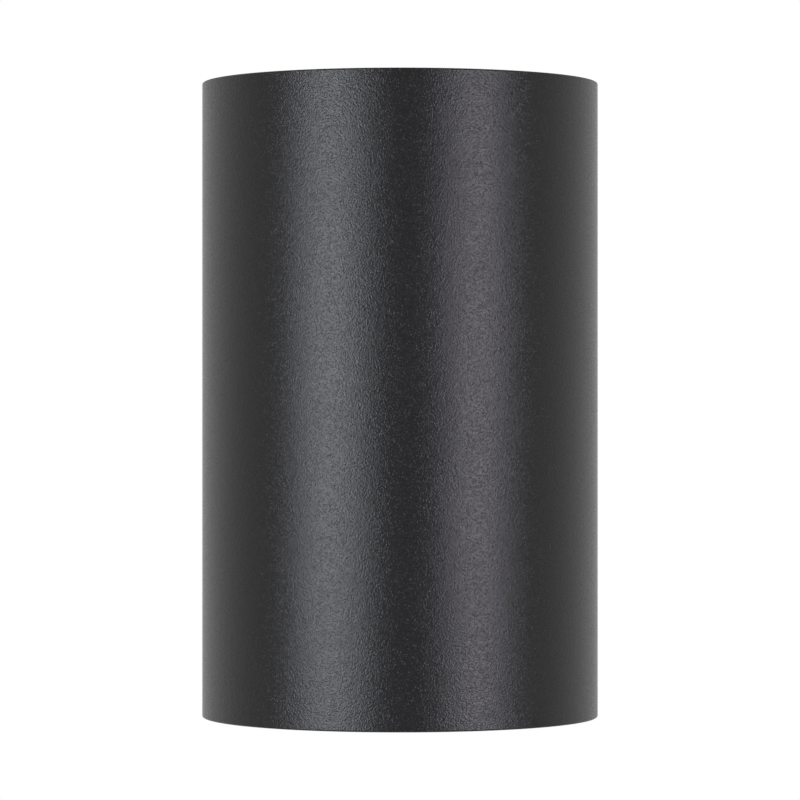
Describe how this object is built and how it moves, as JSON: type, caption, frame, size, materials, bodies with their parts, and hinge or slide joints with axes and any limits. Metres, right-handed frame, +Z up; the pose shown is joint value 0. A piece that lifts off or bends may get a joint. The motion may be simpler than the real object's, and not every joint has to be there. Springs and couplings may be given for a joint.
{
  "type": "outdoor wall sconce",
  "caption": "Outdoor wall sconce: a plain closed cylinder that shines down through a glass lens, held off the wall by a short round arm and a domed-nut canopy.",
  "frame": {"origin": "centre of the outlet box pattern, on the wall plane behind the canopy", "axes": "+Z up, +Y into the wall, the sconce's front looks along -Y, +X to the right seen from the front"},
  "size_m": [0.127, 0.1715, 0.2032],
  "materials": {
    "black_powder_coat": "matte textured powder coat over die-cast aluminium",
    "black_hardware": "satin black plated steel",
    "silicone_rubber": "matte",
    "foam_rubber": "matte closed-cell foam",
    "clear_glass": "polished",
    "baffle_black": "matte black anodised",
    "zinc_steel": "bright zinc plate",
    "tinned_brass": "bright nickel or tin plate",
    "brass": "satin",
    "porcelain": "gloss",
    "white_heat_sink": "satin white paint",
    "white_plastic": "satin",
    "clear_acrylic": "polished",
    "light_board": "matte white mask",
    "phosphor_yellow": "matte",
    "circuit_green": "satin",
    "nickel_cap": "bright nickel plate",
    "black_glass": "gloss",
    "nylon": "satin",
    "green_steel": "satin green plate",
    "wire_black": "satin",
    "wire_white": "satin",
    "connector_orange": "satin",
    "wire_green": "satin"
  },
  "bodies": {
    "fixture": {"housing": "black_powder_coat", "arm": "black_powder_coat", "canopy": "black_powder_coat", "cap_nuts": "black_hardware", "cap_washers": "black_hardware", "lens_set_screws": "black_hardware", "arm_seal": "silicone_rubber", "canopy_gasket": "foam_rubber", "baffle": "baffle_black", "socket_bracket": "zinc_steel", "bracket_screws": "zinc_steel", "socket_screws": "zinc_steel", "arm_screws": "zinc_steel", "arm_washers": "zinc_steel", "foot_screws": "zinc_steel", "mounting_strap": "zinc_steel", "strap_studs": "zinc_steel", "stud_nuts": "zinc_steel", "ground_lugs": "tinned_brass", "socket_shell": "tinned_brass", "socket_contact": "brass", "socket_body": "porcelain", "wire_bushing": "nylon", "ground_screws": "green_steel", "lead_black": "wire_black", "lead_white": "wire_white", "wire_connectors": "connector_orange", "ground_wire": "wire_green"},
    "lens_cover": {"lens_ring": "black_powder_coat", "lens_gasket": "silicone_rubber", "lens_glass": "clear_glass"},
    "lamp_foot": {"lamp_eyelet": "brass"},
    "lamp": {"lamp_body": "white_heat_sink", "lamp_bezel": "white_plastic", "lamp_optic": "clear_acrylic", "lamp_board": "light_board", "lamp_chips": "phosphor_yellow", "lamp_driver": "circuit_green", "lamp_cap": "nickel_cap", "lamp_insulator": "black_glass"}
  },
  "joints": [
    {"name": "lens_cover_slide", "type": "slide", "parent": "fixture", "child": "lens_cover", "axis": [0, 0, -1], "range_m": [0, 0.06]},
    {"name": "lamp_lower", "type": "slide", "parent": "fixture", "child": "lamp_foot", "axis": [0, 0, -1], "range_m": [0, 0.0128]},
    {"name": "lamp_turn", "type": "hinge", "parent": "lamp_foot", "child": "lamp", "pos_m": [0, -0.108, 0], "axis": [0, 0, -1], "range_deg": [0, 1260]}
  ],
  "couplings": [
    {"joint": "lamp_lower", "follows": "lamp_turn", "m_per_rad": 0.00057773}
  ]
}
